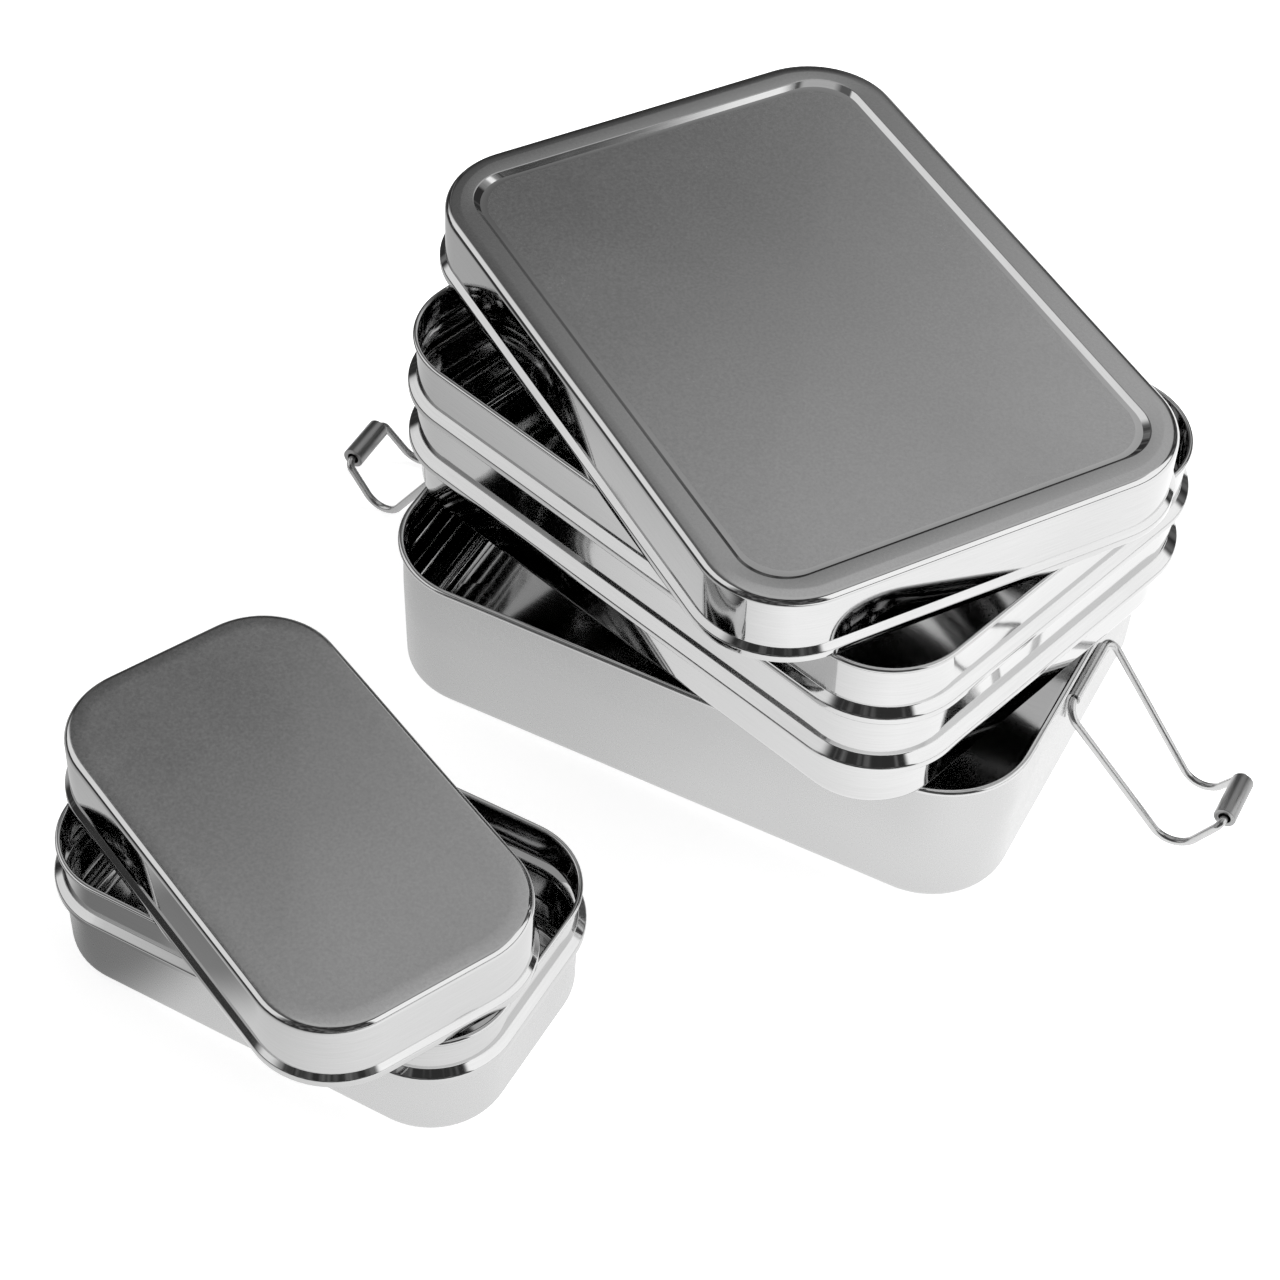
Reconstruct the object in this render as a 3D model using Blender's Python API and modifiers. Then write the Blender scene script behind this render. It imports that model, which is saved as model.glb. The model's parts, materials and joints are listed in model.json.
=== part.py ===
"""Rectangular stainless steel lunch carrier: a large box of two trays and a lid, with two wire bails
and their grips, and a small box with its own lid that packs inside the large one.

The large trays and the lid stand loosely stacked, each turned a little further than the piece below.
The origin is the middle of the large bottom tray's underside, +X along its length, +Z up.
"""

import math

import bmesh
import bpy
from mathutils import Vector

MM = 0.001

# Driving dimensions, in millimetres and degrees.
SHEET = 0.6
AIR = 0.3
CORNER_STEPS = 5

# Length, width and corner radius of each box's nominal outline; profile offsets are from this outline.
LARGE = (200.0, 147.0, 26.0)
SMALL = (140.0, 81.2, 23.4)

BOTTOM_HEIGHT = 51.2
MIDDLE_HEIGHT = 58.6
LID_HEIGHT = 21.9
SMALL_HEIGHT = 43.2
SMALL_LID_HEIGHT = 23.2

BEAD_PROUD = 1.5
MIDDLE_UPPER_BEAD = 17.9
MIDDLE_LOWER_BEAD = 38.6
SMALL_BEAD = 14.5

LID_PANEL_INSET = 9.5
LID_PANEL_CORNER = 14.0
LID_PANEL_DROP = 1.4

# Where each loose piece's middle stands in X and Y, and how far it is turned about Z.
MIDDLE_PLACE = (0.7, 0.7, -16.5)
LID_PLACE = (-2.9, 5.8, -34.7)
SMALL_PLACE = (-58.7, -171.2, -1.6)
SMALL_LID_PLACE = (-62.3, -175.8, -26.6)

HINGE_HEIGHT = 43.0

WIRE_RADIUS = 1.25
BARREL_BORE = 1.35
BARREL_LENGTH = 23.2
STRAP_TAB = 9.0
STRAP_WRAP = 290.0

BAIL_BEND = 107.0
BAIL_BEND_RADIUS = 7.5
BAIL_HOOK = 9.2
BAIL_HALF_WIDTH = 16.6
HINGE_BEND_RADIUS = 4.9
GRIP_BEND_RADIUS = 2.6

GRIP_LENGTH = 16.2
GRIP_RADIUS = 3.4
GRIP_BORE = 1.9
GRIP_CHAMFER = 0.3
GRIP_STEPS = 20
WIRE_END_GAP = 1.0

# Each bail: its side, where its middle stands along Y, its leg and how far it is opened from upright.
BAILS = (("right", 1, -3.0, 57.9, 140.5), ("left", -1, 1.0, 53.2, 146.5))

for old in list(bpy.data.objects):
    bpy.data.objects.remove(old, do_unlink=True)

carrier = bpy.data.collections.new("lunch_carrier")
bpy.context.scene.collection.children.link(carrier)


def steel(name, grey, roughness):
    material = bpy.data.materials.new(name)
    material.use_nodes = True
    shader = material.node_tree.nodes["Principled BSDF"]
    shader.inputs["Base Color"].default_value = (grey, grey, grey * 1.01, 1.0)
    shader.inputs["Metallic"].default_value = 1.0
    shader.inputs["Roughness"].default_value = roughness
    return material


def add_object(name, data, material, place, parent=None, rotation=(0.0, 0.0, 0.0)):
    """Link an object at a place in millimetres, with its rotation in degrees."""
    made = bpy.data.objects.new(name, data)
    carrier.objects.link(made)
    made.location = [value * MM for value in place]
    made.rotation_euler = [math.radians(value) for value in rotation]
    made.parent = parent
    if material:
        made.data.materials.append(material)
    return made


def arc(centre, radius, start, end, steps):
    """Points of an arc in a plane, from the start angle to the end angle in degrees."""
    angles = [math.radians(start + (end - start) * i / steps) for i in range(steps + 1)]
    return [(centre[0] + radius * math.cos(a), centre[1] + radius * math.sin(a)) for a in angles]


# ---- drawn shells: a profile of (offset, height) points lofted round a rounded rectangle ----


def ring_points(size, offset, height, corner=None):
    """Points round a rounded rectangle, grown by the offset, at a height."""
    length, width, radius = size
    half_x = length / 2 + offset
    half_y = width / 2 + offset
    radius = (radius if corner is None else corner) + (offset if corner is None else 0.0)
    points = []
    for quarter, (sign_x, sign_y) in enumerate(((1, 1), (-1, 1), (-1, -1), (1, -1))):
        centre = (sign_x * (half_x - radius), sign_y * (half_y - radius))
        points += arc(centre, radius, 90 * quarter, 90 * quarter + 90, CORNER_STEPS)
    return [Vector((x, y, height)) * MM for x, y in points]


def drawn_shell(name, size, profile, material, place, turn, last_corner=None):
    """Extrude a ring along the profile's middle line, close its middle, then add the sheet's thickness."""
    bm = bmesh.new()
    ring = [bm.verts.new(point) for point in ring_points(size, *profile[0])]
    edges = [bm.edges.new(pair) for pair in zip(ring, ring[1:] + ring[:1])]
    for i, (offset, height) in enumerate(profile[1:], start=1):
        corner = last_corner if i >= len(profile) - 2 else None
        new = set(bmesh.ops.extrude_edge_only(bm, edges=edges)["geom"])
        ring = [next(e.other_vert(v) for e in v.link_edges if e.other_vert(v) in new) for v in ring]
        edges = [bm.edges.get(pair) for pair in zip(ring, ring[1:] + ring[:1])]
        for vertex, point in zip(ring, ring_points(size, offset, height, corner)):
            vertex.co = point
    bmesh.ops.holes_fill(bm, edges=edges, sides=0)
    bmesh.ops.recalc_face_normals(bm, faces=bm.faces)
    mesh = bpy.data.meshes.new(name)
    bm.to_mesh(mesh)
    bm.free()
    mesh.shade_smooth()
    mesh.set_sharp_from_angle(angle=math.radians(35))
    made = add_object(name, mesh, material, place, rotation=(0.0, 0.0, turn))
    thick = made.modifiers.new("sheet", "SOLIDIFY")
    thick.thickness = SHEET * MM
    thick.offset = 0.0
    thick.use_even_offset = True
    return made


def curled_rim(wall, height, radius):
    """The rim's outward curl, from its free edge over the top to the wall's middle line."""
    centre = (wall + radius, height - SHEET / 2 - radius)
    return arc(centre, radius, -45, 180, 5)


def bead(wall_above, wall_below, height, proud=BEAD_PROUD):
    """An outward bead whose widest point is at this height: a sloping ledge, a lip and the return."""
    edge = proud - SHEET / 2
    return [
        (wall_above, height + 2.3),
        (wall_above + 0.35, height + 1.7),
        (edge - 0.5, height + 0.45),
        (edge, height - 0.3),
        (edge, height - 1.6),
        (edge - 0.4, height - 2.1),
        (wall_below + 0.4, height - 2.7),
        (wall_below, height - 3.3),
    ]


def floor_bend(wall, radius, steps=3):
    """The bend from a wall into a floor that stands on height 0."""
    return arc((wall - radius, SHEET / 2 + radius), radius, 0, -90, steps)


def bowed_wall(top_offset, top, foot_offset, foot, steps=3):
    """A wall that is upright at the top and draws in towards its foot."""
    points = []
    for i in range(1, steps + 1):
        share = i / (steps + 1)
        points.append((top_offset + (foot_offset - top_offset) * share**3, top + (foot - top) * share))
    return points


def bottom_tray_profile():
    wall, foot, bend = -0.3, -1.0, 3.7
    rim = curled_rim(wall, BOTTOM_HEIGHT, 0.75)
    side = bowed_wall(wall, rim[-1][1], foot, SHEET / 2 + bend)
    return rim + side + floor_bend(foot, bend)


def middle_tray_profile():
    collar, wall, wall_foot, body, foot, bend = -1.5, -0.7, -1.9, -2.2, -2.7, 3.2
    upper = MIDDLE_HEIGHT - MIDDLE_UPPER_BEAD
    lower = MIDDLE_HEIGHT - MIDDLE_LOWER_BEAD
    return (
        curled_rim(collar, MIDDLE_HEIGHT, 0.5)
        + bead(collar, wall, upper)
        + bead(wall_foot, body, lower)
        + floor_bend(foot, bend)
    )


def small_tray_profile():
    collar, body, foot, bend = -0.9, -0.9, -1.2, 3.2
    return (
        curled_rim(collar, SMALL_HEIGHT, 0.5)
        + bead(collar, body, SMALL_HEIGHT - SMALL_BEAD, 1.8)
        + floor_bend(foot, bend)
    )


def lid_skirt(height, wall, lip):
    """The side of a lid from its lip's lower edge, up the stepped ledge, to the bend of its top."""
    bend = 2.2
    top_bend = arc((wall - bend, height - SHEET / 2 - bend), bend, 0, 90, 4)
    return [(lip, 0.0), (lip, 1.9), (lip - 0.35, 2.5), (wall + 0.35, 3.5), (wall, 4.2)] + top_bend


def large_lid_profile():
    top = LID_HEIGHT - SHEET / 2
    step = 0.8
    return lid_skirt(LID_HEIGHT, 0.2, 1.9) + [
        (step - LID_PANEL_INSET, top),
        (-step - LID_PANEL_INSET, top - LID_PANEL_DROP),
    ]


def small_lid_profile():
    return lid_skirt(SMALL_LID_HEIGHT, 0.2, 1.7)


satin = steel("satin_steel", 0.55, 0.34)
mirror = steel("mirror_steel", 0.62, 0.10)
strip = steel("strap_steel", 0.50, 0.42)
wire_steel = steel("wire_steel", 0.55, 0.28)
grip_steel = steel("grip_steel", 0.48, 0.32)

middle_base = BOTTOM_HEIGHT + AIR
lid_base = middle_base + MIDDLE_HEIGHT + AIR
small_lid_base = SMALL_HEIGHT + AIR

drawn_shell("large_bottom_tray", LARGE, bottom_tray_profile(), satin, (0, 0, 0), 0)
drawn_shell(
    "large_middle_tray",
    LARGE,
    middle_tray_profile(),
    mirror,
    (*MIDDLE_PLACE[:2], middle_base),
    MIDDLE_PLACE[2],
)
drawn_shell(
    "large_lid",
    LARGE,
    large_lid_profile(),
    mirror,
    (*LID_PLACE[:2], lid_base),
    LID_PLACE[2],
    last_corner=LID_PANEL_CORNER,
)
drawn_shell("small_tray", SMALL, small_tray_profile(), satin, (*SMALL_PLACE[:2], 0), SMALL_PLACE[2])
drawn_shell(
    "small_lid",
    SMALL,
    small_lid_profile(),
    mirror,
    (*SMALL_LID_PLACE[:2], small_lid_base),
    SMALL_LID_PLACE[2],
)


# ---- bails: local X leads away from the tray, Y runs along the hinge, a closed bail's legs rise in Z ----


def poly_curve(name, points, cyclic):
    curve = bpy.data.curves.new(name, "CURVE")
    spline = curve.splines.new("POLY")
    spline.points.add(len(points) - 1)
    for target, point in zip(spline.points, points):
        target.co = (*[value * MM for value in point], 1.0)
    spline.use_cyclic_u = cyclic
    return curve


def strap_outline():
    """The strap's section: the barrel wrapped round the hinge wire, and a tab down the tray's wall."""
    outer_radius = BARREL_BORE + SHEET
    outer = arc((0, 0), outer_radius, 180, 180 - STRAP_WRAP, 16)
    inner = arc((0, 0), BARREL_BORE, 180 - STRAP_WRAP, 180, 16)
    tab = [(-BARREL_BORE, -STRAP_TAB), (-outer_radius, -STRAP_TAB)]
    return [(x, y, 0.0) for x, y in outer + inner + tab]


def leg_side_view(leg):
    """(reach, rise) points of a leg seen along the hinge, and the way that its hook points."""
    bend_centre = (-BAIL_BEND_RADIUS, leg - BAIL_BEND_RADIUS)
    bend = arc(bend_centre, BAIL_BEND_RADIUS, 0, BAIL_BEND, 7)
    way = (-math.sin(math.radians(BAIL_BEND)), math.cos(math.radians(BAIL_BEND)))
    hook_end = tuple(value + BAIL_HOOK * part for value, part in zip(bend[-1], way))
    return [(0.0, HINGE_BEND_RADIUS)] + bend + [hook_end], way


def grip_middle(leg):
    line, way = leg_side_view(leg)
    reach, rise = (value + GRIP_BEND_RADIUS * part for value, part in zip(line[-1], way))
    return (reach, 0.0, rise)


def half_bail(leg):
    """(reach, along, rise) points from the hinge's middle, up one leg, to the wire's end inside the grip."""
    line, way = leg_side_view(leg)
    quarter = [math.radians(22.5 * i) for i in range(1, 5)]
    leg_start = BAIL_HALF_WIDTH - HINGE_BEND_RADIUS
    points = [(0.0, 0.0, 0.0), (0.0, leg_start, 0.0)]
    for turn in quarter[:-1]:
        along = leg_start + HINGE_BEND_RADIUS * math.sin(turn)
        points.append((0.0, along, HINGE_BEND_RADIUS * (1 - math.cos(turn))))

    grip_side = GRIP_LENGTH / 2 + AIR
    hook_width = grip_side + GRIP_BEND_RADIUS
    runs = [0.0]
    for a, b in zip(line, line[1:]):
        runs.append(runs[-1] + math.dist(a, b))
    for (reach, rise), run in zip(line, runs):
        along = BAIL_HALF_WIDTH + (hook_width - BAIL_HALF_WIDTH) * run / runs[-1]
        points.append((reach, along, rise))

    for turn in quarter:
        forth = GRIP_BEND_RADIUS * math.sin(turn)
        reach, rise = (value + forth * part for value, part in zip(line[-1], way))
        points.append((reach, grip_side + GRIP_BEND_RADIUS * math.cos(turn), rise))
    points.append((reach, WIRE_END_GAP / 2, rise))
    return points


def bail_wire(name, parent, leg, opened):
    half = half_bail(leg)
    path = [(x, -y, z) for x, y, z in reversed(half[1:])] + half
    curve = poly_curve(name, path, cyclic=False)
    curve.dimensions = "3D"
    curve.bevel_depth = WIRE_RADIUS * MM
    curve.bevel_resolution = 2
    curve.use_fill_caps = True
    return add_object(name, curve, wire_steel, (0, 0, 0), parent, (0, opened, 0))


def hinge_strap(name, parent):
    curve = poly_curve(name, strap_outline(), cyclic=True)
    curve.dimensions = "2D"
    curve.fill_mode = "BOTH"
    curve.extrude = BARREL_LENGTH / 2 * MM
    return add_object(name, curve, strip, (0, 0, 0), parent, (90, 0, 0))


def grip_sleeve(name, parent, leg):
    """A short tube with chamfered ends, turned about its own Z."""
    half, edge = GRIP_LENGTH / 2, GRIP_CHAMFER
    profile = [
        (GRIP_RADIUS - edge, half),
        (GRIP_RADIUS, half - edge),
        (GRIP_RADIUS, edge - half),
        (GRIP_RADIUS - edge, -half),
        (GRIP_BORE + edge, -half),
        (GRIP_BORE, edge - half),
        (GRIP_BORE, half - edge),
        (GRIP_BORE + edge, half),
    ]
    bm = bmesh.new()
    loop = [bm.verts.new((x * MM, 0, z * MM)) for x, z in profile]
    for a, b in zip(loop, loop[1:] + loop[:1]):
        bm.edges.new((a, b))
    mesh = bpy.data.meshes.new(name)
    bm.to_mesh(mesh)
    bm.free()
    made = add_object(name, mesh, grip_steel, grip_middle(leg), parent, (90, 0, 0))
    turn = made.modifiers.new("turn", "SCREW")
    turn.steps = turn.render_steps = GRIP_STEPS
    turn.use_merge_vertices = True
    turn.merge_threshold = 0.00001
    turn.use_smooth_shade = True
    return made


def hinge_axis(name, side, along):
    """The empty on a bail's hinge axis, turned so that its X leads away from the tray."""
    reach = LARGE[0] / 2 + AIR + SHEET + BARREL_BORE
    turn = 0 if side > 0 else 180
    return add_object(name, None, None, (side * reach, along, HINGE_HEIGHT), rotation=(0, 0, turn))


for side_name, side, along, leg, opened in BAILS:
    axis = hinge_axis(side_name + "_hinge_axis", side, along)
    hinge_strap(side_name + "_hinge_strap", axis)
    wire = bail_wire(side_name + "_bail_wire", axis, leg, opened)
    grip_sleeve(side_name + "_grip_sleeve", wire, leg)
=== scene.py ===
"""The looks of a rectangular stainless steel lunch carrier: drawn shells, wire bails and grips.

Every shell is a sheet of real thickness, lofted round a rounded rectangle along a bent profile.
Each stands in its CAD solid's own place, which is read from the solid: its middle, its base and its
turn. Lengths are in millimetres unless a comment says otherwise.
"""

import json
import math

import bmesh
import bpy
from mathutils import Matrix, Vector, noise


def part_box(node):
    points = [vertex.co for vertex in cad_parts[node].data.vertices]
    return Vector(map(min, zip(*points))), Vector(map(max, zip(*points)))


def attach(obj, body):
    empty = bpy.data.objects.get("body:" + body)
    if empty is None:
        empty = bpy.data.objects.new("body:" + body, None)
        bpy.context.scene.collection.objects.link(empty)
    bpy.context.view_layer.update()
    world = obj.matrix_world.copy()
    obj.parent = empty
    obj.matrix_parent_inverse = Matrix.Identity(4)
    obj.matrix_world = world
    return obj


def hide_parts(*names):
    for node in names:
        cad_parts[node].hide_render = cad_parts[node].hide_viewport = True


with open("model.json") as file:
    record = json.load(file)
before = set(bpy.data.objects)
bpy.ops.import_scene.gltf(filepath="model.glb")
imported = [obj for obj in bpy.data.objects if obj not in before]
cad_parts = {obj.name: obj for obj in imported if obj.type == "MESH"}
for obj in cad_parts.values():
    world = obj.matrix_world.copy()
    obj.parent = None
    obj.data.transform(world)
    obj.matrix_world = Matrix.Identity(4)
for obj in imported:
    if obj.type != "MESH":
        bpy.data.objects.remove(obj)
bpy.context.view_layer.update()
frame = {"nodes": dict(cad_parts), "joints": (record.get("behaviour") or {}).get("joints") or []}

MM = 0.001

# Sheet and wire. The barrel's bore is a radius.
SHEET = 0.6
WIRE_RADIUS = 1.25
BARREL_BORE = 1.35

# How finely a ring and a bend are divided.
CORNER_STEPS = 18
LONG_STEPS = 26
SHORT_STEPS = 18
BEND_STEPS = 6
FOOT_BEND_STEPS = 9
EDGE_STEPS = 6
CURL_STEPS = 18
HOOK_STEPS = 20
QUARTER_STEPS = 10
STRAP_STEPS = 48
GRIP_STEPS = 64
WIRE_BEVEL_STEPS = 6

# The shares by which a flat's rings shrink towards its middle.
FLAT_SHARES = (0.985, 0.95, 0.88, 0.78, 0.66, 0.54, 0.42, 0.30, 0.18, 0.07)

# Slack when telling an upright face and a straight corner (radians), and the sharpest mitre's cosine.
UPRIGHT_SLACK = 0.05
STRAIGHT_SLACK = 1e-4
MITRE_LIMIT = 0.5

# Outline corner radii, and how far each shell's widest line stands proud of its nominal outline.
LARGE_CORNER = 26.0
SMALL_CORNER = 23.4
RIM_PROUD = 1.5
SMALL_BEAD_PROUD = 1.8
LARGE_LIP = 1.9
SMALL_LIP = 1.7

# A tray's curled rim: the curl's radius on the bottom tray and on the others, the angle of its free
# edge, and how far below the top the rim's own material reaches, inside and out.
THICK_CURL = 0.75
THIN_CURL = 0.5
CURL_START = -150
RIM_DEPTH = 1.6

# A bead: its edge's top and foot and its return to the wall, as distances from its height, the
# ledge's slope, and the bends.
BEAD_TOP = 0.1
BEAD_FOOT = 1.85
BEAD_RETURN = 3.0
LEDGE_SLOPE = 0.72
LEDGE_BEND = 0.7
BEAD_BEND = 0.75
FOLD_BEND = 0.6

# Where a tray's flat bottom starts, inward from its outline.
FLAT_START = -12

# The sheet's slow unevenness: the size of a wave and its depth on a wall, and on a flat the size,
# the height in the noise, how fast it rises from the flat's edge, and the depths.
WALL_WAVES = (34, 0.09)
FLAT_WAVE_SIZE = 42
FLAT_WAVE_LEVEL = 40.0
FLAT_WAVE_RISE = 6
TRAY_UNEVENNESS = 0.05
LID_UNEVENNESS = 0.012

# The bulge in the middle of each flat.
LARGE_CROWN = 0.25
SMALL_CROWN = 0.2
LID_CROWN = 0.3

# Heights of the beads below their rims.
MIDDLE_UPPER_BEAD = 17.9
MIDDLE_LOWER_BEAD = 38.6
SMALL_BEAD = 14.5

# The bottom tray's wall: where it meets the rim and how far the rim's material reaches on the
# outside, below the top, and a faint bend, as a share of the height and a radius.
BOTTOM_RIM_FOOT = 2.3
BOTTOM_RIM_EDGE = 2.4
BELLY_SHARE = 0.62
BELLY_BEND = 60

# How far below the small tray's bead its polished collar reaches, where the satin starts.
SMALL_BEAD_EDGE = 2.8

# The lids' skirts, the small lid's flat, and the large lid's raised frame, step and sunk panel.
LID_WALL = 0.2
LIP_TOP = 2.2
SKIRT_FOOT = 3.85
LID_TOP_BEND = 2.2
SMALL_LID_FLAT = -6.0
SMALL_LID_EDGE = 0.1
FRAME_CROWN = -4.0
FRAME_RISE = 0.15
FRAME_EDGE = 0.25
FRAME_BEND = 9.0
FRAME_FALL = 0.10
STEP_HALF_WIDTH = 0.73
STEP_BEND = 0.25
STEP_RUNOUT = 2.4
LID_PANEL_INSET = 9.5
LID_PANEL_CORNER = 14.0
LID_PANEL_DROP = 1.4

# Hinge straps, bails and grips.
BARREL_LENGTH = 23.2
STRAP_TAB = 9.0
STRAP_WRAP = 290.0
BAIL_LEGS = {"right": 57.9, "left": 53.2}
BAIL_BEND = 107.0
BAIL_BEND_RADIUS = 7.5
BAIL_HOOK = 9.2
BAIL_HALF_WIDTH = 16.6
HINGE_BEND_RADIUS = 4.9
GRIP_BEND_RADIUS = 2.6
GRIP_LENGTH = 16.2
GRIP_RADIUS = 3.4
GRIP_BORE = 1.9
GRIP_EDGE = 0.25
GRIP_GAP = 0.3
WIRE_END_GAP = 1.0

# The materials' places in a shell's list.
OUTER, INNER, OUTER_FLAT, INNER_FLAT, UPPER = range(5)

# The camera's place round the object, in degrees and metres, its framing and its clipping range.
CAMERA_AZIMUTH = 24.44
CAMERA_ELEVATION = 46.69
CAMERA_ROLL = 3.68
CAMERA_DISTANCE = 0.9284
CAMERA_TARGET = (-0.02214, -0.03831, 0.0485)
CAMERA_LENS = 88.03
CAMERA_SHIFT = (-0.0141, -0.0434)
CAMERA_CLIP = (0.05, 20)

# What the steel reflects of the room: the dim clutter's scale, its noise range and its levels, then
# each soft box (azimuths from the camera, elevations, edge softness of each, level), then the
# overhead panel: its level by ray (share to the right, share of elevation, start), its range, and
# its elevation with the inner and outer angle of its soft edge.
CLUTTER_SCALE = (7, 7, 1.6)
CLUTTER_RANGE = (0.48, 0.72)
ROOM_LEVELS = (0.04, 0.24)
SOFT_BOXES = (((-132, -54), (10, 50), (9, 2), 1.05), ((47, 112), (5, 50.5), (3, 0.8), 1.40))
PANEL_RISE = (1.75, 1.4, -0.71)
PANEL_LEVELS = (0.14, 0.61)
PANEL_CAP = (72, 37, 45)

# The floor the camera sees, in metres: half its side, how far it lies below zero, its colour and
# roughness, and the light that it gives off to read as white.
FLOOR_HALF = 3.0
FLOOR_DROP = 0.0002
FLOOR_COLOUR = (0.86, 0.86, 0.86, 1)
FLOOR_ROUGHNESS = 0.9
FLOOR_LIFT = 0.72

# The glow the steel sees in the floor, in metres: its levels over a reach to the camera's right and
# a little towards it, a spot of painted shadow in the glow with its edge and level, the distances at
# which the glow is faded and full, how far to the right it stays full whatever the distance, and its
# faded level.
FLOOR_GLOW = (0.54, 1.35)
GLOW_REACH = (-0.24, 0.11)
GLOW_LEAN = 0.3
PAINTED_SHADOW_SPOT = (-0.118, -0.226, 0)
PAINTED_SHADOW_EDGE = (0.014, 0.040)
PAINTED_SHADOW_LEVEL = 0.35
FADE_DISTANCE = (0.62, 0.28)
FULL_ASIDE = (0.16, 0.34)
FADED_GLOW = 0.05

# The key light: its azimuth and elevation in degrees, distance and size in metres, power in watts.
LAMP_WAY = (CAMERA_AZIMUTH + 110, 52)
LAMP_DISTANCE = 1.4
LAMP_SIZE = (0.9, 0.7)
LAMP_POWER = 22


# ---- camera ----


def direction(azimuth, elevation):
    """The way towards a point round the object: azimuth 0 is the -Y side, and 90 the +X side."""
    a, e = math.radians(azimuth), math.radians(elevation)
    return Vector((math.sin(a) * math.cos(e), -math.cos(a) * math.cos(e), math.sin(e)))


def add_camera():
    back = direction(CAMERA_AZIMUTH, CAMERA_ELEVATION)
    right = direction(CAMERA_AZIMUTH + 90, 0)
    up = back.cross(right)
    turn = math.radians(CAMERA_ROLL)
    turned_right = right * math.cos(turn) + up * math.sin(turn)
    turned_up = up * math.cos(turn) - right * math.sin(turn)
    data = bpy.data.cameras.new("camera")
    data.lens = CAMERA_LENS
    data.shift_x, data.shift_y = CAMERA_SHIFT
    data.clip_start, data.clip_end = CAMERA_CLIP
    camera = bpy.data.objects.new("camera", data)
    bpy.context.scene.collection.objects.link(camera)
    axes = Matrix((turned_right, turned_up, back)).transposed()
    place = Vector(CAMERA_TARGET) + back * CAMERA_DISTANCE
    camera.matrix_world = Matrix.Translation(place) @ axes.to_4x4()
    bpy.context.scene.camera = camera


# ---- node materials ----


def add_node(tree, kind, inputs=(), **settings):
    """A shader node; inputs maps a socket's name or number to a value or another node's output."""
    node = tree.nodes.new(kind)
    for key, value in settings.items():
        setattr(node, key, value)
    for key, value in dict(inputs).items():
        if isinstance(value, bpy.types.NodeSocket):
            tree.links.new(value, node.inputs[key])
        else:
            node.inputs[key].default_value = value
    return node


def maths(tree, operation, *values):
    """One Math node; each value may be a number or an output."""
    return add_node(tree, "ShaderNodeMath", dict(enumerate(values)), operation=operation).outputs[0]


def along(tree, vector, way):
    """How far a vector reaches along a fixed way."""
    inputs = {0: vector, 1: way}
    node = add_node(tree, "ShaderNodeVectorMath", inputs, operation="DOT_PRODUCT")
    return node.outputs["Value"]


def smooth(tree, value, low, high):
    """0 at the low value and 1 at the high one, with an easy rise. Low may be the larger one."""
    inputs = {"Value": value, "From Min": low, "From Max": high}
    return add_node(tree, "ShaderNodeMapRange", inputs, interpolation_type="SMOOTHSTEP").outputs[0]


def mixed(tree, share, a, b):
    """A value between a and b; each may be a number or an output."""
    return add_node(tree, "ShaderNodeMix", {0: share, 2: a, 3: b}, data_type="FLOAT").outputs[0]


def stretched_noise(tree, coordinates, scale, detail=3.0, rough=0.55):
    """Noise whose scale differs along X, Y and Z, per metre."""
    mapping = add_node(tree, "ShaderNodeMapping", {"Vector": coordinates, "Scale": scale})
    inputs = {"Vector": mapping.outputs[0], "Scale": 1.0, "Detail": detail, "Roughness": rough}
    return add_node(tree, "ShaderNodeTexNoise", inputs).outputs["Fac"]


def ranged(tree, value, low, high, to_low, to_high):
    """The value carried from one range to another, and held at its ends."""
    inputs = {"Value": value, "From Min": low, "From Max": high}
    inputs |= {"To Min": to_low, "To Max": to_high}
    return add_node(tree, "ShaderNodeMapRange", inputs, clamp=True).outputs[0]


def grey_colour(tree, level):
    inputs = {"Red": level, "Green": level, "Blue": level}
    return add_node(tree, "ShaderNodeCombineColor", inputs).outputs[0]


def ridged(tree, place, scale):
    """How far a stretched noise is from its middle value: 0 along thin lines, more beside them."""
    value = stretched_noise(tree, place, scale, 0.0, 0.5)
    return maths(tree, "ABSOLUTE", maths(tree, "SUBTRACT", value, 0.5))


def bumped(tree, height, depth, normal=None):
    """A normal bent by a height that stands for the given depth, on top of an earlier normal."""
    inputs = {"Strength": 1.0, "Distance": depth * MM, "Height": height}
    if normal is not None:
        inputs["Normal"] = normal
    return add_node(tree, "ShaderNodeBump", inputs).outputs[0]


# Smudges and slow tone changes, per metre, and the shares by which tone and roughness vary.
SMEAR_SCALE = (38, 31, 44)
CLOUD_SCALE = (9, 11, 14)
TONE_SHARES = (0.96, 1.04)
ROUGH_SHARES = (0.82, 1.18)
SCORE_WIDTH = 0.04


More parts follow.
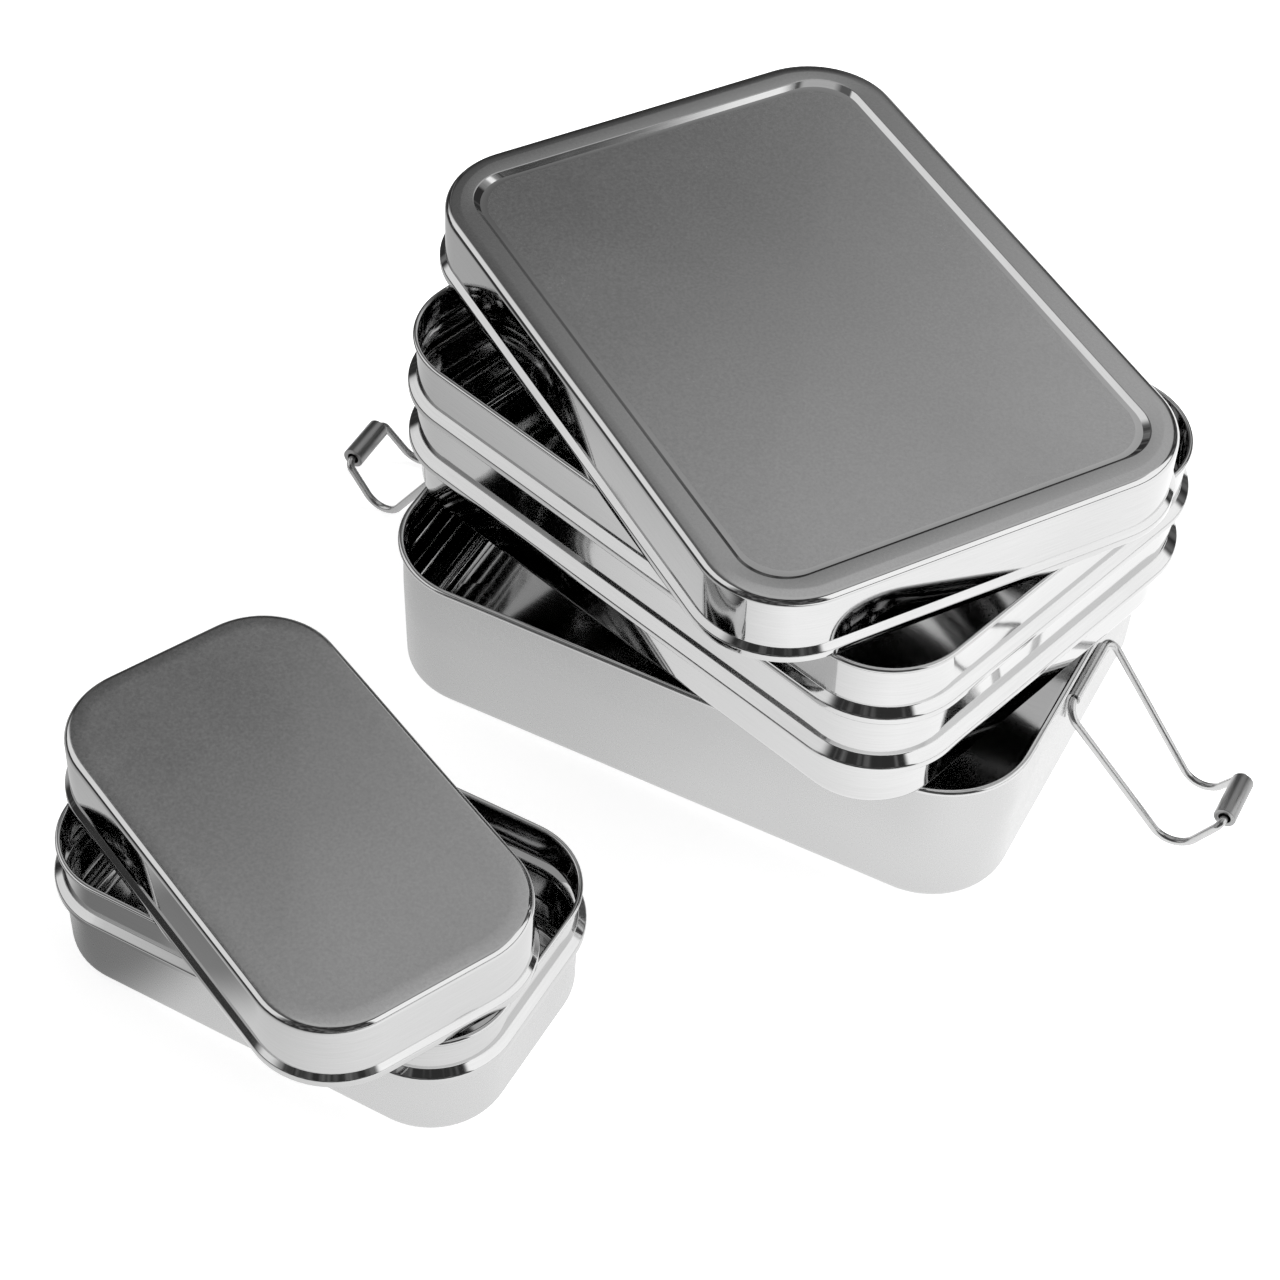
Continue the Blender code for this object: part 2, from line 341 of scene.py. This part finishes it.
def sheet_steel(
    name, grey, roughness, grain, grain_depth, smudge, folds=None, scores=None, grain_tone=0.035
):
    """Stainless sheet with a fine grain, smudges and a slow tone change.

    The grain is the noise scale along X, Y and Z, per metre. Equal values give a directionless
    satin, and a small value is the way that brushing or drawing lines run. Its depth is in
    millimetres, and grain_tone is the share by which it changes the grey. Smudge is the most that
    a smear adds to the roughness. Folds are slow creases, and scores are the tool's thin raised
    lines: each is a depth in millimetres and a noise scale like the grain's.
    """
    material = bpy.data.materials.new(name)
    material.use_nodes = True
    tree = material.node_tree
    shader = tree.nodes["Principled BSDF"]
    shader.inputs["Metallic"].default_value = 1.0
    place = add_node(tree, "ShaderNodeTexCoord").outputs["Object"]

    lines = stretched_noise(tree, place, grain, 4.0, 0.6)
    smears = stretched_noise(tree, place, SMEAR_SCALE, 3.0, 0.6)
    clouds = stretched_noise(tree, place, CLOUD_SCALE, 2.0, 0.5)

    tone = ranged(tree, clouds, 0.35, 0.65, *[grey * share for share in TONE_SHARES])
    fine_tone = ranged(tree, lines, 0.3, 0.7, 1 - grain_tone, 1 + grain_tone)
    level = maths(tree, "MULTIPLY", tone, fine_tone)
    tree.links.new(grey_colour(tree, level), shader.inputs["Base Color"])

    line_rough = ranged(tree, lines, 0.3, 0.7, *[roughness * share for share in ROUGH_SHARES])
    smear_rough = ranged(tree, smears, 0.45, 0.75, 0.0, smudge)
    tree.links.new(maths(tree, "ADD", line_rough, smear_rough), shader.inputs["Roughness"])

    relief = bumped(tree, lines, grain_depth)
    if folds:
        depth, scale = folds
        relief = bumped(tree, ridged(tree, place, scale), depth, relief)
    if scores:
        depth, scale = scores
        raised = ranged(tree, ridged(tree, place, scale), 0.0, SCORE_WIDTH, 1.0, 0.0)
        relief = bumped(tree, raised, depth, relief)
    tree.links.new(relief, shader.inputs["Normal"])
    return material


# Grains, the folds and scores that run level round the trays' insides, and their floors' folds.
CROSS_GRAIN = (70, 70, 2600)
FLAT_GRAIN = (90, 2400, 900)
FINE_GRAIN = (1100, 1100, 1100)
STRAP_GRAIN = (300, 2000, 300)
WIRE_GRAIN = (900, 900, 900)
GRIP_GRAIN = (2200, 2200, 90)
WALL_FOLDS = (0.7, (6, 6, 45))
WALL_SCORES = (0.26, (4, 4, 90))
FLOOR_FOLDS = (0.25, (28, 28, 28))

satin_outside = sheet_steel("satin_outside", 0.51, 0.28, FINE_GRAIN, 0.0003, 0.04, grain_tone=0.015)
pale_satin = sheet_steel("pale_satin", 0.60, 0.25, FINE_GRAIN, 0.0003, 0.04, grain_tone=0.015)
bright_inside = sheet_steel(
    "bright_inside", 0.64, 0.06, CROSS_GRAIN, 0.0002, 0.02, WALL_FOLDS, WALL_SCORES
)
bright_floor = sheet_steel("bright_floor", 0.62, 0.08, FLAT_GRAIN, 0.0005, 0.03, FLOOR_FOLDS)
mirror_outside = sheet_steel("mirror_outside", 0.60, 0.055, CROSS_GRAIN, 0.0005, 0.03)
lid_top = sheet_steel("lid_top", 0.56, 0.20, FINE_GRAIN, 0.0010, 0.05, grain_tone=0.09)
rim_sheet = sheet_steel("rim_sheet", 0.58, 0.08, CROSS_GRAIN, 0.0008, 0.04)
lid_frame = sheet_steel("lid_frame", 0.56, 0.13, FINE_GRAIN, 0.0006, 0.05, grain_tone=0.05)
strap_sheet = sheet_steel("strap_sheet", 0.58, 0.22, STRAP_GRAIN, 0.001, 0.03)
drawn_wire = sheet_steel("drawn_wire", 0.52, 0.22, WIRE_GRAIN, 0.001, 0.1)
grip_tube = sheet_steel("grip_tube", 0.34, 0.30, GRIP_GRAIN, 0.002, 0.08)


# ---- sheet profiles: (offset, height, bend radius) corners, each bend rounded to its radius ----


def bent_line(corners, steps=BEND_STEPS):
    """The line through the corners, with an arc of its own radius at each one between the ends."""
    points = [Vector(corners[0][:2])]
    for before, (x, y, radius), after in zip(corners, corners[1:], corners[2:]):
        corner = Vector((x, y))
        way_in = (corner - Vector(before[:2])).normalized()
        way_out = (Vector(after[:2]) - corner).normalized()
        turn = way_in.angle_signed(way_out)
        if abs(turn) < STRAIGHT_SLACK or radius == 0:
            points.append(corner)
            continue
        reach = radius * math.tan(abs(turn) / 2)
        side = 1 if way_in.cross(way_out) > 0 else -1
        normal = Vector((-way_in.y, way_in.x)) * side
        centre = corner - way_in * reach + normal * radius
        start = -normal
        for i in range(steps + 1):
            angle = side * abs(turn) * i / steps
            across = start.x * math.cos(angle) - start.y * math.sin(angle)
            upward = start.x * math.sin(angle) + start.y * math.cos(angle)
            points.append(centre + Vector((across, upward)) * radius)
    points.append(Vector(corners[-1][:2]))
    return points


def arc(centre, radius, start, end, steps):
    """Points on an arc between two angles, in degrees."""
    angles = [math.radians(start + (end - start) * i / steps) for i in range(steps + 1)]
    x, y = centre
    return [Vector((x + radius * math.cos(a), y + radius * math.sin(a))) for a in angles]


def curled_rim(wall, height, radius):
    """A rim curled outward, from its hidden free edge over the top to the wall's middle line."""
    centre = (wall + radius, height - SHEET / 2 - radius)
    return arc(centre, radius, CURL_START, 180, CURL_STEPS)


def bead_corners(wall_above, wall_below, height, proud):
    """An outward bead: a sloping ledge, an upright lip and the return to the wall."""
    edge = proud - SHEET / 2
    return [
        (wall_above, height + BEAD_TOP + LEDGE_SLOPE * (edge - wall_above), LEDGE_BEND),
        (edge, height + BEAD_TOP, BEAD_BEND),
        (edge, height - BEAD_FOOT, FOLD_BEND),
        (wall_below, height - BEAD_RETURN, FOLD_BEND),
    ]


def offset_line(points, distance):
    """The line moved sideways, to the left of its own way when the distance is positive."""
    moved = []
    for i, point in enumerate(points):
        ways = []
        if i > 0:
            ways.append((point - points[i - 1]).normalized())
        if i < len(points) - 1:
            ways.append((points[i + 1] - point).normalized())
        normals = [Vector((-way.y, way.x)) for way in ways]
        middle = sum(normals, Vector((0, 0))).normalized()
        moved.append(point + middle * distance / max(MITRE_LIMIT, middle.dot(normals[0])))
    return moved


# ---- shells ----


def resting_place(node):
    """A shell's own frame, from its CAD solid: its base's middle, with X along its long side."""
    low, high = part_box(node)
    walls = [face for face in frame["nodes"][node].data.polygons if abs(face.normal.z) < UPRIGHT_SLACK]
    widest = max(walls, key=lambda face: face.area)
    turn = math.atan2(widest.normal.y, widest.normal.x) - math.pi / 2
    turn = (turn + math.pi / 2) % math.pi - math.pi / 2
    middle = Vector(((low.x + high.x) / 2, (low.y + high.y) / 2, low.z))
    return Matrix.Translation(middle) @ Matrix.Rotation(turn, 4, "Z")


def own_size(node, place):
    """The solid's length, width and height in its own frame, in millimetres."""
    back = place.inverted()
    points = [back @ vertex.co for vertex in frame["nodes"][node].data.vertices]
    return [(max(p[i] for p in points) - min(p[i] for p in points)) / MM for i in range(3)]


def ring(length, width, corner, offset):
    """Points round a rounded rectangle grown by the offset: each corner's bend, then a straight."""
    half_x, half_y = length / 2 + offset, width / 2 + offset
    signs = ((1, 1), (-1, 1), (-1, -1), (1, -1))
    points = []
    for quarter, (sign_x, sign_y) in enumerate(signs):
        centre = (sign_x * (half_x - corner), sign_y * (half_y - corner))
        bend = arc(centre, corner, 90 * quarter, 90 * quarter + 90, CORNER_STEPS)
        points += bend
        next_x, next_y = signs[(quarter + 1) % 4]
        next_centre = Vector((next_x * (half_x - corner), next_y * (half_y - corner)))
        next_turn = math.pi / 2 * (quarter + 1)
        next_way = Vector((corner * math.cos(next_turn), corner * math.sin(next_turn)))
        next_start = next_centre + next_way
        steps = LONG_STEPS if quarter % 2 == 0 else SHORT_STEPS
        points += [bend[-1].lerp(next_start, i / steps) for i in range(1, steps)]
    return points


def waves(point, seed, size, depth):
    """A slow unevenness of the sheet, in millimetres."""
    spot = Vector((point[0], point[1], point[2])) / size
    return depth * noise.noise(spot + Vector((seed, 1.7 * seed, -0.6 * seed)))


class Shell:
    """A drawn sheet piece, built in its own frame and set in its CAD solid's place."""

    def __init__(self, node, corner, proud, seed):
        self.node = node
        self.place = resting_place(node)
        length, width, self.height = own_size(node, self.place)
        self.outline = (length - 2 * proud, width - 2 * proud)
        self.corner = corner
        self.seed = seed

    def ring(self, offset, height, corner=None):
        radius = max(self.corner + offset, 1.0) if corner is None else corner
        points = []
        for point in ring(*self.outline, radius, offset):
            outward = Vector((point.x, point.y)).normalized()
            bulge = waves((point.x, point.y, height), self.seed, *WALL_WAVES)
            spread = point + outward * bulge
            points.append((spread.x, spread.y, height))
        return points

    def build(
        self,
        profile,
        outside,
        sides,
        upper,
        crown,
        unevenness=TRAY_UNEVENNESS,
        panel_corner=None,
        panel_points=0,
    ):
        """Loft the sheet along the profile.

        Outside is 1 if the profile's left side is the outer one, as on a tray, and -1 if not.
        Upper is the height above which the outside has another of the side materials, and its slot.
        A tray's rolled rim has that material all round. The last panel_points of the profile belong
        to a sunk panel, whose corner radius is panel_corner.
        """
        half = SHEET / 2
        outer = offset_line(profile, half * outside)
        inner = offset_line(profile, -half * outside)
        edge_way = (outer[0] - inner[0]).normalized()
        edge_out = (profile[0] - profile[1]).normalized()
        edge = []
        for i in range(1, EDGE_STEPS):
            angle = math.pi * i / EDGE_STEPS
            way = edge_way * math.cos(math.pi - angle) + edge_out * math.sin(angle)
            edge.append(profile[0] + way * half)
        line = list(reversed(inner)) + edge + outer
        bm = bmesh.new()
        rows, kinds = [], []
        count = len(profile)
        for i, (offset, height) in enumerate(line):
            from_end = min(i, len(line) - 1 - i)
            corner = panel_corner if from_end < panel_points else None
            rows.append([bm.verts.new(point) for point in self.ring(offset, height, corner)])
            kinds.append(OUTER if i >= count else INNER)
        for below, above, kind in zip(rows, rows[1:], kinds):
            low = min(below[0].co.z, above[0].co.z)
            on_rim = outside == 1 and low > self.height - RIM_DEPTH
            if (kind == OUTER and low > upper[0]) or on_rim:
                kind = upper[1]
            self.join(bm, below, above, kind)
        self.close(bm, rows[0], INNER_FLAT, line[0].y, crown, unevenness)
        self.close(bm, rows[-1], OUTER_FLAT, line[-1].y, crown, unevenness)
        bmesh.ops.recalc_face_normals(bm, faces=bm.faces)
        bmesh.ops.scale(bm, vec=(MM, MM, MM), verts=bm.verts)
        return self.add(bm, sides)

    def join(self, bm, below, above, kind):
        for a, b, c, d in zip(below, below[1:] + below[:1], above[1:] + above[:1], above):
            bm.faces.new((a, b, c, d)).material_index = kind

    def close(self, bm, row, kind, height, crown, unevenness):
        """Fill a flat middle with rings that shrink towards it, slightly crowned and uneven."""
        outline = [vertex.co.copy() for vertex in row]
        last = row
        for share in FLAT_SHARES:
            points = []
            for start in outline:
                rise = crown * (1 - share * share) ** 2
                x, y = start.x * share, start.y * share
                wave = waves((x, y, FLAT_WAVE_LEVEL), self.seed, FLAT_WAVE_SIZE, unevenness)
                rise += wave * min(1.0, (1 - share) * FLAT_WAVE_RISE)
                points.append((x, y, height + rise))
            fresh = [bm.verts.new(point) for point in points]
            self.join(bm, last, fresh, kind)
            last = fresh
        bm.faces.new(last).material_index = kind

    def add(self, bm, sides):
        mesh = bpy.data.meshes.new(self.node)
        bm.to_mesh(mesh)
        bm.free()
        mesh.shade_smooth()
        for material in sides:
            mesh.materials.append(material)
        piece = bpy.data.objects.new(self.node + "_sheet", mesh)
        bpy.context.scene.collection.objects.link(piece)
        piece.matrix_world = self.place
        return piece


def bottom_tray():
    shell = Shell("large_bottom_tray", LARGE_CORNER, RIM_PROUD, 3)
    wall, foot, foot_bend = -0.3, -1.0, 3.7
    rim = curled_rim(wall, shell.height, THICK_CURL)
    corners = [
        (*rim[-1], 0),
        (wall, shell.height * BELLY_SHARE, BELLY_BEND),
        (foot, SHEET / 2, foot_bend),
        (FLAT_START, SHEET / 2, 0),
    ]
    below_rim = Vector((wall, shell.height - BOTTOM_RIM_FOOT))
    profile = rim + [below_rim] + bent_line(corners, FOOT_BEND_STEPS)[1:]
    sides = (satin_outside, bright_inside, satin_outside, bright_floor, rim_sheet)
    upper = (shell.height - BOTTOM_RIM_EDGE, UPPER)
    return shell.build(profile, 1, sides, upper, LARGE_CROWN)


def middle_tray():
    shell = Shell("large_middle_tray", LARGE_CORNER, RIM_PROUD, 11)
    collar, wall, wall_foot, body, foot, foot_bend = -1.5, -0.7, -1.9, -2.2, -2.7, 3.2
    rim = curled_rim(collar, shell.height, THIN_CURL)
    corners = [(*rim[-1], 0)]
    corners += bead_corners(collar, wall, shell.height - MIDDLE_UPPER_BEAD, RIM_PROUD)
    corners += bead_corners(wall_foot, body, shell.height - MIDDLE_LOWER_BEAD, RIM_PROUD)
    corners += [(foot, SHEET / 2, foot_bend), (FLAT_START, SHEET / 2, 0)]
    sides = (mirror_outside, bright_inside, mirror_outside, bright_floor, rim_sheet)
    upper = (shell.height - RIM_DEPTH, UPPER)
    return shell.build(rim[:-1] + bent_line(corners), 1, sides, upper, LARGE_CROWN)


def small_tray():
    shell = Shell("small_tray", SMALL_CORNER, SMALL_BEAD_PROUD, 19)
    wall, foot, foot_bend = -0.9, -1.2, 3.2
    rim = curled_rim(wall, shell.height, THIN_CURL)
    corners = [(*rim[-1], 0)]
    corners += bead_corners(wall, wall, shell.height - SMALL_BEAD, SMALL_BEAD_PROUD)
    corners += [(foot, SHEET / 2, foot_bend), (FLAT_START, SHEET / 2, 0)]
    sides = (pale_satin, bright_inside, pale_satin, bright_floor, mirror_outside)
    upper = (shell.height - SMALL_BEAD - SMALL_BEAD_EDGE, UPPER)
    return shell.build(rim[:-1] + bent_line(corners), 1, sides, upper, SMALL_CROWN)


def lid_skirt(height, lip):
    """A lid's stepped skirt. Its free edge is rounded, so it starts half a sheet above the base."""
    return [
        (lip, SHEET / 2, 0),
        (lip, LIP_TOP, FOLD_BEND),
        (LID_WALL, SKIRT_FOOT, FOLD_BEND),
        (LID_WALL, height - SHEET / 2, LID_TOP_BEND),
    ]


def large_lid():
    shell = Shell("large_lid", LARGE_CORNER, LARGE_LIP + SHEET / 2, 27)
    top = shell.height - SHEET / 2
    corners = lid_skirt(shell.height - FRAME_RISE, LARGE_LIP)
    corners += [
        (FRAME_CROWN, top, FRAME_BEND),
        (STEP_HALF_WIDTH - LID_PANEL_INSET, top - FRAME_FALL, STEP_BEND),
        (-STEP_HALF_WIDTH - LID_PANEL_INSET, top - LID_PANEL_DROP, STEP_BEND),
        (-STEP_RUNOUT - LID_PANEL_INSET, top - LID_PANEL_DROP, 0),
    ]
    sides = (mirror_outside, bright_inside, lid_top, bright_floor, lid_frame)
    panel_points = 2 * (BEND_STEPS + 1) + 1
    upper = (top + SHEET / 2 - FRAME_EDGE, UPPER)
    panel = (LID_PANEL_CORNER, panel_points)
    return shell.build(bent_line(corners), -1, sides, upper, LID_CROWN, LID_UNEVENNESS, *panel)


def small_lid():
    shell = Shell("small_lid", SMALL_CORNER, SMALL_LIP + SHEET / 2, 35)
    top = shell.height - SHEET / 2
    corners = lid_skirt(shell.height, SMALL_LIP) + [(SMALL_LID_FLAT, top, 0)]
    sides = (mirror_outside, bright_inside, lid_top, bright_floor)
    upper = (top + SMALL_LID_EDGE, OUTER_FLAT)
    return shell.build(bent_line(corners), -1, sides, upper, LID_CROWN, LID_UNEVENNESS)


# ---- hinge straps, bails and grips: local X leads away from the tray, Y runs along the hinge ----


placed_joints = [joint for joint in frame["joints"] if "pos_m" in joint]
joint_places = {joint["name"]: Vector(joint["pos_m"]) for joint in placed_joints}


def leg_side_view(side):
    """(reach, rise) points of a closed bail's leg seen along the hinge, and its hook's way."""
    bend_centre = (-BAIL_BEND_RADIUS, BAIL_LEGS[side] - BAIL_BEND_RADIUS)
    bend = arc(bend_centre, BAIL_BEND_RADIUS, 0, BAIL_BEND, HOOK_STEPS)
    way = Vector((-math.sin(math.radians(BAIL_BEND)), math.cos(math.radians(BAIL_BEND))))
    return [Vector((0.0, HINGE_BEND_RADIUS))] + bend + [bend[-1] + way * BAIL_HOOK], way


def hinge_frame(side):
    """A bail's frame on its hinge axis, and the turn that brings its grip to the grip joint."""
    hinge = joint_places[side + "_bail_hinge"]
    grip = joint_places[side + "_grip_spin"] - hinge
    line, way = leg_side_view(side)
    closed = line[-1] + way * GRIP_BEND_RADIUS
    outward = 1 if hinge.x > 0 else -1
    opened = math.atan2(closed.y, closed.x) - math.atan2(grip.z, grip.x * outward)
    facing = Matrix.Rotation(0 if outward > 0 else math.pi, 4, "Z")
    return Matrix.Translation(hinge) @ facing, Matrix.Rotation(opened, 4, "Y")


def half_bail(side):
    """(reach, along, rise) points from the hinge's middle, up one leg, to the end in the grip."""
    line, way = leg_side_view(side)
    leg_start = BAIL_HALF_WIDTH - HINGE_BEND_RADIUS
    points = [(0.0, 0.0, 0.0)]
    for i in range(QUARTER_STEPS):
        turn = math.radians(90 / QUARTER_STEPS * i)
        along = leg_start + HINGE_BEND_RADIUS * math.sin(turn)
        points.append((0.0, along, HINGE_BEND_RADIUS * (1 - math.cos(turn))))
    grip_side = GRIP_LENGTH / 2 + GRIP_GAP
    runs = [0.0]
    for a, b in zip(line, line[1:]):
        runs.append(runs[-1] + (b - a).length)
    narrowing = grip_side + GRIP_BEND_RADIUS - BAIL_HALF_WIDTH
    for (reach, rise), run in zip(line, runs):
        points.append((reach, BAIL_HALF_WIDTH + narrowing * run / runs[-1], rise))
    for i in range(1, QUARTER_STEPS + 1):
        turn = math.radians(90 / QUARTER_STEPS * i)
        reach, rise = line[-1] + way * GRIP_BEND_RADIUS * math.sin(turn)
        points.append((reach, grip_side + GRIP_BEND_RADIUS * math.cos(turn), rise))
    points.append((reach, WIRE_END_GAP / 2, rise))
    return points


def poly_curve(name, points, cyclic):
    curve = bpy.data.curves.new(name, "CURVE")
    spline = curve.splines.new("POLY")
    spline.points.add(len(points) - 1)
    for target, point in zip(spline.points, points):
        target.co = (*[value * MM for value in point], 1.0)
    spline.use_cyclic_u = cyclic
    return curve


def add_piece(name, data, material, place):
    data.materials.append(material)
    piece = bpy.data.objects.new(name, data)
    bpy.context.scene.collection.objects.link(piece)
    piece.matrix_world = place
    return piece


def bail_wire(side):
    base, opening = hinge_frame(side)
    half = half_bail(side)
    path = [(x, -y, z) for x, y, z in reversed(half[1:])] + half
    curve = poly_curve(side + "_bail", path, cyclic=False)
    curve.dimensions = "3D"
    curve.bevel_depth = WIRE_RADIUS * MM
    curve.bevel_resolution = WIRE_BEVEL_STEPS
    curve.use_fill_caps = True
    return add_piece(side + "_bail", curve, drawn_wire, base @ opening)


def hinge_strap(side):
    base, _ = hinge_frame(side)
    outer_radius = BARREL_BORE + SHEET
    outer = arc((0, 0), outer_radius, 180, 180 - STRAP_WRAP, STRAP_STEPS)
    inner = arc((0, 0), BARREL_BORE, 180 - STRAP_WRAP, 180, STRAP_STEPS)
    tab = [Vector((-BARREL_BORE, -STRAP_TAB)), Vector((-outer_radius, -STRAP_TAB))]
    curve = poly_curve(side + "_strap", [(x, y, 0.0) for x, y in outer + inner + tab], cyclic=True)
    curve.dimensions = "2D"
    curve.fill_mode = "BOTH"
    curve.extrude = BARREL_LENGTH / 2 * MM
    upright = Matrix.Rotation(math.pi / 2, 4, "X")
    return add_piece(side + "_strap", curve, strap_sheet, base @ upright)


def grip_sleeve(side):
    base, opening = hinge_frame(side)
    line, way = leg_side_view(side)
    reach, rise = line[-1] + way * GRIP_BEND_RADIUS
    half, edge = GRIP_LENGTH / 2, GRIP_EDGE
    profile = bent_line(
        [
            (GRIP_RADIUS, 0.0, 0),
            (GRIP_RADIUS, -half, edge),
            (GRIP_BORE, -half, edge),
            (GRIP_BORE, half, edge),
            (GRIP_RADIUS, half, edge),
            (GRIP_RADIUS, 0.0, 0),
        ]
    )
    bm = bmesh.new()
    loop = [bm.verts.new((x * MM, 0, z * MM)) for x, z in profile[:-1]]
    for a, b in zip(loop, loop[1:] + loop[:1]):
        bm.edges.new((a, b))
    bmesh.ops.spin(
        bm,
        geom=bm.verts[:] + bm.edges[:],
        axis=(0, 0, 1),
        cent=(0, 0, 0),
        steps=GRIP_STEPS,
        angle=2 * math.pi,
        use_merge=True,
    )
    bmesh.ops.recalc_face_normals(bm, faces=bm.faces)
    mesh = bpy.data.meshes.new(side + "_grip")
    bm.to_mesh(mesh)
    bm.free()
    mesh.shade_smooth()
    place = base @ opening @ Matrix.Translation(Vector((reach, 0, rise)) * MM)
    return add_piece(side + "_grip", mesh, grip_tube, place @ Matrix.Rotation(math.pi / 2, 4, "X"))


# ---- the pieces on their bodies ----


def stand_for(piece, body, node):
    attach(piece, body)
    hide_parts(node)


add_camera()
stand_for(bottom_tray(), "bottom_tray", "large_bottom_tray")
stand_for(middle_tray(), "middle_tray", "large_middle_tray")
stand_for(large_lid(), "large_lid", "large_lid")
stand_for(small_tray(), "small_tray", "small_tray")
stand_for(small_lid(), "small_lid", "small_lid")
for side in ("right", "left"):
    stand_for(hinge_strap(side), "bottom_tray", side + "_hinge_strap")
    stand_for(bail_wire(side), side + "_bail", side + "_bail_wire")
    stand_for(grip_sleeve(side), side + "_grip", side + "_grip_sleeve")


# ---- studio ----


def add_floor():
    """A white floor. What the steel sees of it is brighter to the right and fades far off elsewhere."""
    mesh = bpy.data.meshes.new("floor")
    bm = bmesh.new()
    bmesh.ops.create_grid(bm, x_segments=1, y_segments=1, size=FLOOR_HALF)
    bm.to_mesh(mesh)
    bm.free()
    floor = bpy.data.objects.new("floor", mesh)
    bpy.context.scene.collection.objects.link(floor)
    floor.location.z = -FLOOR_DROP
    material = bpy.data.materials.new("pale_floor")
    material.use_nodes = True
    tree = material.node_tree
    shader = tree.nodes["Principled BSDF"]
    shader.inputs["Base Color"].default_value = FLOOR_COLOUR
    shader.inputs["Roughness"].default_value = FLOOR_ROUGHNESS
    shader.inputs["Specular IOR Level"].default_value = 0.0
    shader.inputs["Emission Color"].default_value = (1, 1, 1, 1)
    shader.inputs["Emission Strength"].default_value = FLOOR_LIFT

    spot = add_node(tree, "ShaderNodeTexCoord").outputs["Object"]
    right, back = direction(CAMERA_AZIMUTH + 90, 0), direction(CAMERA_AZIMUTH, 0)
    lit = ranged(tree, along(tree, spot, right + back * GLOW_LEAN), *GLOW_REACH, *FLOOR_GLOW)
    # Painted shadow: the glow is dimmed to a share of itself in a soft round spot on the floor.
    aside = add_node(tree, "ShaderNodeVectorMath", {0: spot, 1: PAINTED_SHADOW_SPOT}, operation="DISTANCE")
    painted_shadow = smooth(tree, aside.outputs["Value"], *PAINTED_SHADOW_EDGE)
    lit = maths(tree, "MULTIPLY", lit, ranged(tree, painted_shadow, 0.0, 1.0, PAINTED_SHADOW_LEVEL, 1.0))
    distance = add_node(tree, "ShaderNodeVectorMath", {0: spot}, operation="LENGTH")
    near = smooth(tree, distance.outputs["Value"], *FADE_DISTANCE)
    beside = smooth(tree, along(tree, spot, right), *FULL_ASIDE)
    glow = mixed(tree, maths(tree, "MAXIMUM", near, beside), FADED_GLOW, lit)
    reflected = add_node(tree, "ShaderNodeEmission", {"Strength": glow})
    seen = add_node(tree, "ShaderNodeLightPath").outputs["Is Camera Ray"]
    shaders = {0: seen, 1: reflected.outputs[0], 2: shader.outputs[0]}
    mix = add_node(tree, "ShaderNodeMixShader", shaders)
    tree.links.new(mix.outputs[0], tree.nodes["Material Output"].inputs["Surface"])
    mesh.materials.append(material)


def add_soft_light(name, azimuth, elevation, distance, size, power):
    """An area light turned to the middle of the scene, which the steel doesn't reflect."""
    data = bpy.data.lights.new(name, "AREA")
    data.shape = "RECTANGLE"
    data.size, data.size_y = size
    data.energy = power
    light = bpy.data.objects.new(name, data)
    bpy.context.scene.collection.objects.link(light)
    way = direction(azimuth, elevation)
    light.location = way * distance
    light.rotation_mode = "QUATERNION"
    light.rotation_quaternion = way.to_track_quat("Z", "Y")
    light.visible_glossy = False


def soft_box(tree, azimuth, elevation, across, upward, softness):
    """1 inside a patch of the sky between two azimuths and two elevations, in degrees."""
    edges = []
    for value, span, soft in zip((azimuth, elevation), (across, upward), softness):
        for edge, way in zip(span, (soft, -soft)):
            inner, outer = edge + way, edge - way
            edges.append(smooth(tree, value, math.radians(outer), math.radians(inner)))
    share = edges[0]
    for edge in edges[1:]:
        share = maths(tree, "MULTIPLY", share, edge)
    return share


def cap(tree, ray, azimuth, elevation, inner, outer):
    """1 inside a round patch of the sky, 0 outside it, with a soft edge between the two angles."""
    reach = along(tree, ray, direction(azimuth, elevation))
    return smooth(tree, reach, math.cos(math.radians(outer)), math.cos(math.radians(inner)))


def add_sky():
    """A dim studio: a soft box on the left, a brighter one on the right and a panel overhead."""
    world = bpy.data.worlds.new("studio")
    bpy.context.scene.world = world
    world.use_nodes = True
    tree = world.node_tree
    ray = add_node(tree, "ShaderNodeTexCoord").outputs["Generated"]
    across = along(tree, ray, direction(CAMERA_AZIMUTH + 90, 0))
    ahead = along(tree, ray, direction(CAMERA_AZIMUTH, 0))
    azimuth = maths(tree, "ARCTAN2", across, ahead)
    elevation = maths(tree, "ARCSINE", along(tree, ray, (0, 0, 1)))

    clutter = stretched_noise(tree, ray, CLUTTER_SCALE, 2.0, 0.6)
    level = ranged(tree, clutter, *CLUTTER_RANGE, *ROOM_LEVELS)
    to_right, to_top, start = PANEL_RISE
    rise = maths(tree, "MULTIPLY_ADD", elevation, to_top, start)
    rise = maths(tree, "MULTIPLY_ADD", across, to_right, rise)
    panel = ranged(tree, rise, *PANEL_LEVELS, *PANEL_LEVELS)
    level = mixed(tree, cap(tree, ray, CAMERA_AZIMUTH + 180, *PANEL_CAP), level, panel)
    for sides, heights, softness, brightness in SOFT_BOXES:
        share = soft_box(tree, azimuth, elevation, sides, heights, softness)
        level = mixed(tree, share, level, brightness)
    seen = add_node(tree, "ShaderNodeLightPath").outputs["Is Camera Ray"]
    level = mixed(tree, seen, level, 1.0)
    tree.links.new(grey_colour(tree, level), tree.nodes["Background"].inputs["Color"])


add_floor()
add_sky()
add_soft_light("key", *LAMP_WAY, LAMP_DISTANCE, LAMP_SIZE, LAMP_POWER)
bpy.context.scene.view_settings.view_transform = "Standard"
